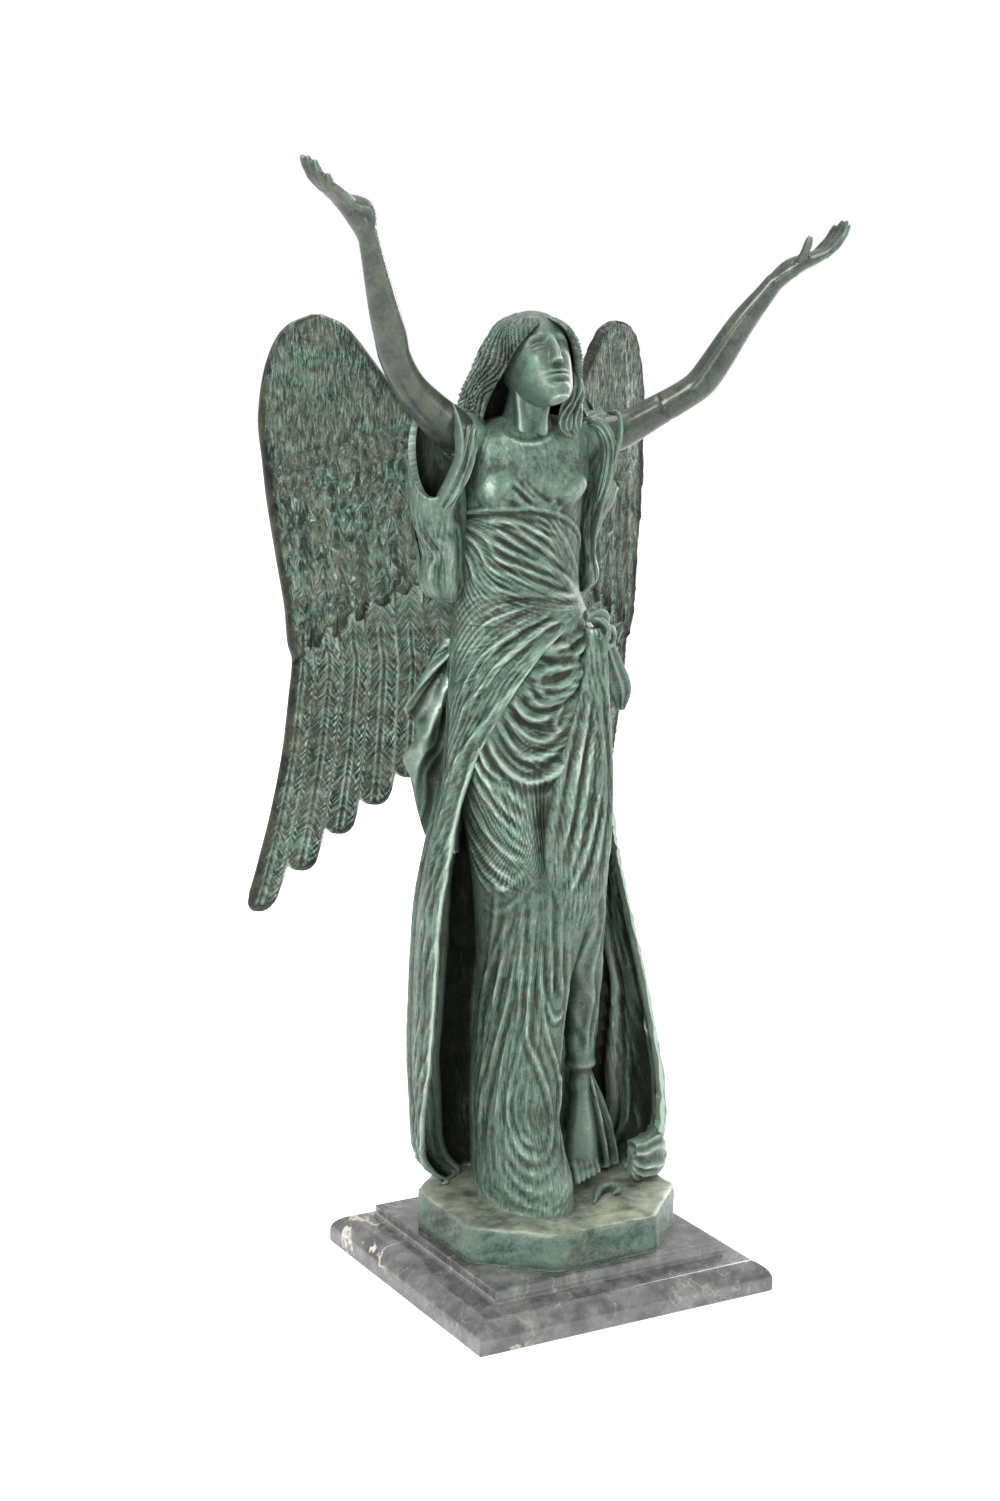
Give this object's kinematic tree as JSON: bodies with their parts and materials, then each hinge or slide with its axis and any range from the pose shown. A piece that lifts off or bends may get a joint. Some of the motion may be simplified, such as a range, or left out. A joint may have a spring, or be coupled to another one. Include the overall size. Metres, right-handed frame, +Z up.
{
  "type": "bronze angel statue",
  "caption": "Standing angel with raised arms and tall folded-back wings in green patinated bronze, on a stepped square marble plinth.",
  "frame": {"origin": "centre of the plinth's underside", "axes": "+Z up along the figure, the figure faces -Y, and its left hand is towards +X"},
  "size_m": [0.302, 0.2194, 0.5822],
  "materials": {
    "bronze": "cast bronze with a green and brown patina, satin",
    "marble": "dark grey marble with pale veins, polished"
  },
  "bodies": {
    "root": {"angel_bronze": "bronze", "marble_plinth": "marble"}
  },
  "joints": []
}
